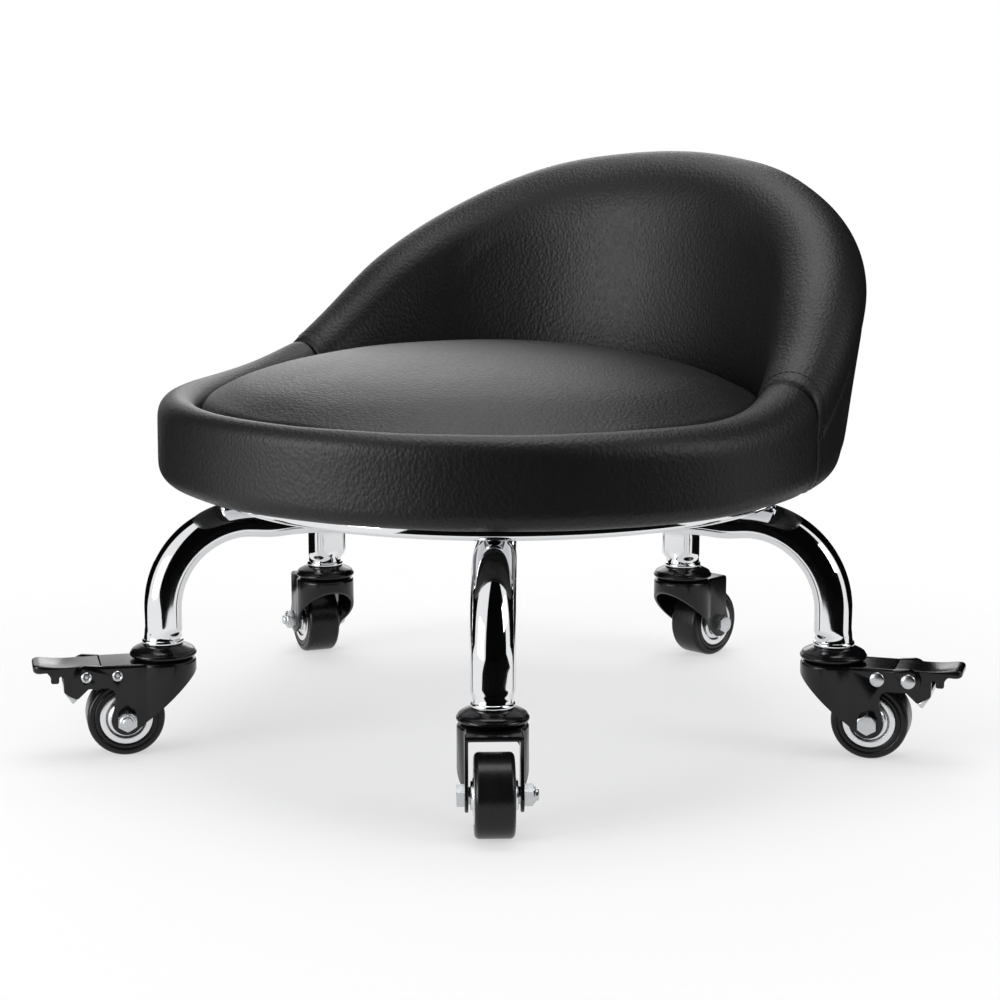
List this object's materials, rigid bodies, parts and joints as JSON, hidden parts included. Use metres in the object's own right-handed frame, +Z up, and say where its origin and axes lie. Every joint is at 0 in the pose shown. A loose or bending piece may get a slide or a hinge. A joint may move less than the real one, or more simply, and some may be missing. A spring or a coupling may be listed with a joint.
{
  "type": "rolling stool",
  "caption": "Low round rolling stool with a wrap-around padded back, a chrome pan base with bent legs, swivel casters and foot brakes.",
  "frame": {"origin": "on the floor under the swivel axis of the seat", "axes": "+Z up, the seat faces -Y, the back is at +Y, +X to the sitter's left"},
  "size_m": [0.4315, 0.4099, 0.29],
  "materials": {
    "pu_leather": "satin pebble grain",
    "chrome": "mirror",
    "wheel_chrome": "bright",
    "black_steel": "satin powder coat",
    "zinc_steel": "zinc plated",
    "bearing_steel": "polished",
    "plywood": "raw",
    "lining_cloth": "matte",
    "tyre": "satin"
  },
  "bodies": {
    "base": {"base_pan": "chrome", "swivel_lower_plate": "zinc_steel", "swivel_pin": "zinc_steel", "pan_bolts": "zinc_steel", "leg_rear": "chrome", "caster_stem_rear": "chrome", "race_cap_rear": "black_steel", "leg_left": "chrome", "caster_stem_left": "chrome", "race_cap_left": "black_steel", "leg_front_left": "chrome", "caster_stem_front_left": "chrome", "race_cap_front_left": "black_steel", "leg_front_right": "chrome", "caster_stem_front_right": "chrome", "race_cap_front_right": "black_steel", "leg_right": "chrome", "caster_stem_right": "chrome", "race_cap_right": "black_steel"},
    "seat": {"swivel_upper_plate": "zinc_steel", "swivel_balls": "bearing_steel", "seat_board": "plywood", "seat_screws": "zinc_steel", "dust_cloth": "lining_cloth", "seat_cushion": "pu_leather", "seat_rim": "pu_leather", "backrest": "pu_leather", "back_board": "plywood"},
    "caster_rear": {"fork_rear": "black_steel", "axle_bolt_rear": "zinc_steel", "axle_sleeve_rear": "zinc_steel"},
    "wheel_rear": {"wheel_rim_rear": "wheel_chrome", "wheel_tread_rear": "tyre"},
    "caster_left": {"fork_left": "black_steel", "axle_bolt_left": "zinc_steel", "axle_sleeve_left": "zinc_steel"},
    "wheel_left": {"wheel_rim_left": "wheel_chrome", "wheel_tread_left": "tyre"},
    "caster_front_left": {"fork_front_left": "black_steel", "axle_bolt_front_left": "zinc_steel", "axle_sleeve_front_left": "zinc_steel", "brake_rivet_front_left": "zinc_steel"},
    "wheel_front_left": {"wheel_rim_front_left": "wheel_chrome", "wheel_tread_front_left": "tyre"},
    "pedal_front_left": {"brake_pedal_front_left": "black_steel", "brake_shoe_front_left": "zinc_steel"},
    "caster_front_right": {"fork_front_right": "black_steel", "axle_bolt_front_right": "zinc_steel", "axle_sleeve_front_right": "zinc_steel"},
    "wheel_front_right": {"wheel_rim_front_right": "wheel_chrome", "wheel_tread_front_right": "tyre"},
    "caster_right": {"fork_right": "black_steel", "axle_bolt_right": "zinc_steel", "axle_sleeve_right": "zinc_steel", "brake_rivet_right": "zinc_steel"},
    "wheel_right": {"wheel_rim_right": "wheel_chrome", "wheel_tread_right": "tyre"},
    "pedal_right": {"brake_pedal_right": "black_steel", "brake_shoe_right": "zinc_steel"}
  },
  "joints": [
    {"name": "seat_swivel", "type": "hinge", "parent": "base", "child": "seat", "pos_m": [0, 0, 0.13], "axis": [0, 0, 1], "continuous": true},
    {"name": "swivel_rear", "type": "hinge", "parent": "base", "child": "caster_rear", "pos_m": [0, 0.174, 0.0455], "axis": [0, 0, 1], "continuous": true},
    {"name": "spin_rear", "type": "hinge", "parent": "caster_rear", "child": "wheel_rear", "pos_m": [0.00238, 0.19335, 0.01905], "axis": [-0.9925, 0.1219, 0], "continuous": true},
    {"name": "swivel_left", "type": "hinge", "parent": "base", "child": "caster_left", "pos_m": [-0.16548, 0.05377, 0.0455], "axis": [0, 0, 1], "continuous": true},
    {"name": "spin_left", "type": "hinge", "parent": "caster_left", "child": "wheel_left", "pos_m": [-0.1822, 0.06381, 0.01905], "axis": [-0.515, -0.8572, 0], "continuous": true},
    {"name": "swivel_front_left", "type": "hinge", "parent": "base", "child": "caster_front_left", "pos_m": [-0.10227, -0.14077, 0.0455], "axis": [0, 0, 1], "continuous": true},
    {"name": "spin_front_left", "type": "hinge", "parent": "caster_front_left", "child": "wheel_front_left", "pos_m": [-0.11481, -0.15571, 0.01905], "axis": [0.766, -0.6428, 0], "continuous": true},
    {"name": "brake_front_left", "type": "hinge", "parent": "caster_front_left", "child": "pedal_front_left", "pos_m": [-0.12705, -0.1703, 0.0415], "axis": [0.766, -0.6428, 0], "range_deg": [0, 30]},
    {"name": "swivel_front_right", "type": "hinge", "parent": "base", "child": "caster_front_right", "pos_m": [0.10227, -0.14077, 0.0455], "axis": [0, 0, 1], "continuous": true},
    {"name": "spin_front_right", "type": "hinge", "parent": "caster_front_right", "child": "wheel_front_right", "pos_m": [0.11455, -0.15592, 0.01905], "axis": [0.7771, 0.6293, 0], "continuous": true},
    {"name": "swivel_right", "type": "hinge", "parent": "base", "child": "caster_right", "pos_m": [0.16548, 0.05377, 0.0455], "axis": [0, 0, 1], "continuous": true},
    {"name": "spin_right", "type": "hinge", "parent": "caster_right", "child": "wheel_right", "pos_m": [0.18381, 0.06044, 0.01905], "axis": [-0.342, 0.9397, 0], "continuous": true},
    {"name": "brake_right", "type": "hinge", "parent": "caster_right", "child": "pedal_right", "pos_m": [0.20171, 0.06695, 0.0415], "axis": [-0.342, 0.9397, 0], "range_deg": [0, 30]}
  ]
}
